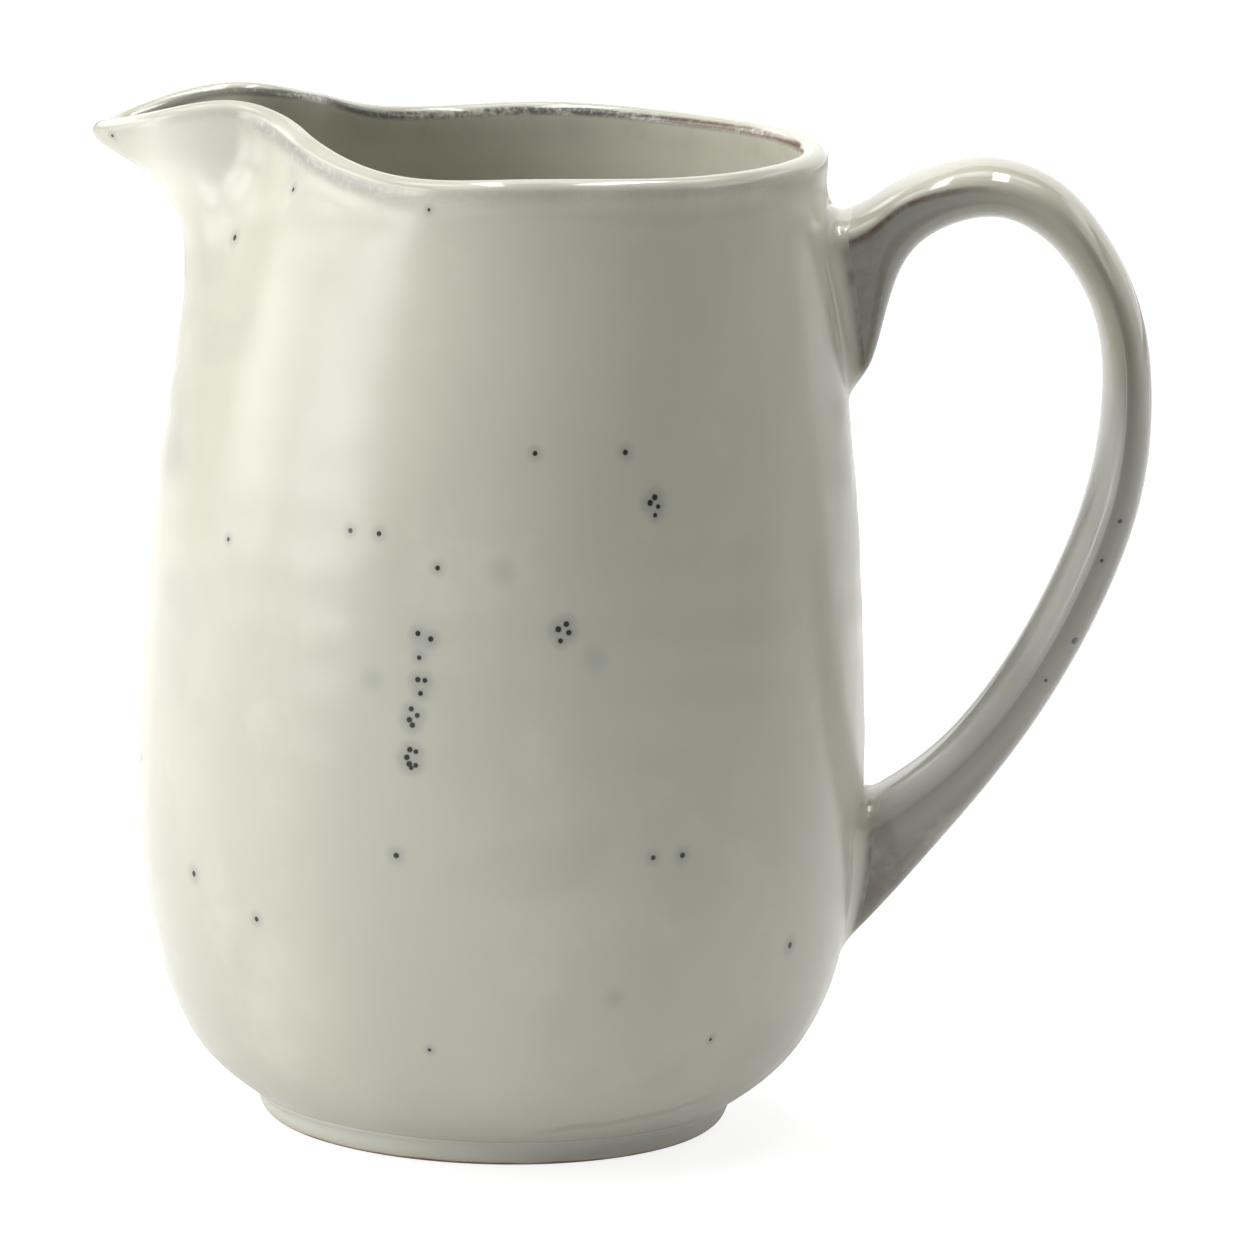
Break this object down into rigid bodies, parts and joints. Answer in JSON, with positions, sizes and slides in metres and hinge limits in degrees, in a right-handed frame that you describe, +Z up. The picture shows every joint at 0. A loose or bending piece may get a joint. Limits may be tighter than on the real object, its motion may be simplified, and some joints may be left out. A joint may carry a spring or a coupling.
{
  "type": "pitcher",
  "caption": "Stoneware pouring pitcher with a pinched spout, a low foot ring and a strap handle, glazed pale grey-green.",
  "frame": {"origin": "centre of the foot ring's resting face, on the body's axis", "axes": "+Z up along the body's axis, +X from the axis towards the handle; the spout points along -X"},
  "size_m": [0.1873, 0.1296, 0.1827],
  "materials": {
    "body_glaze": "gloss",
    "handle_glaze": "gloss",
    "bare_clay": "matte"
  },
  "bodies": {
    "root": {"vessel_body": "body_glaze", "foot_ring": "bare_clay", "handle": "handle_glaze", "upper_handle_joint": "body_glaze", "lower_handle_joint": "body_glaze"}
  },
  "joints": []
}
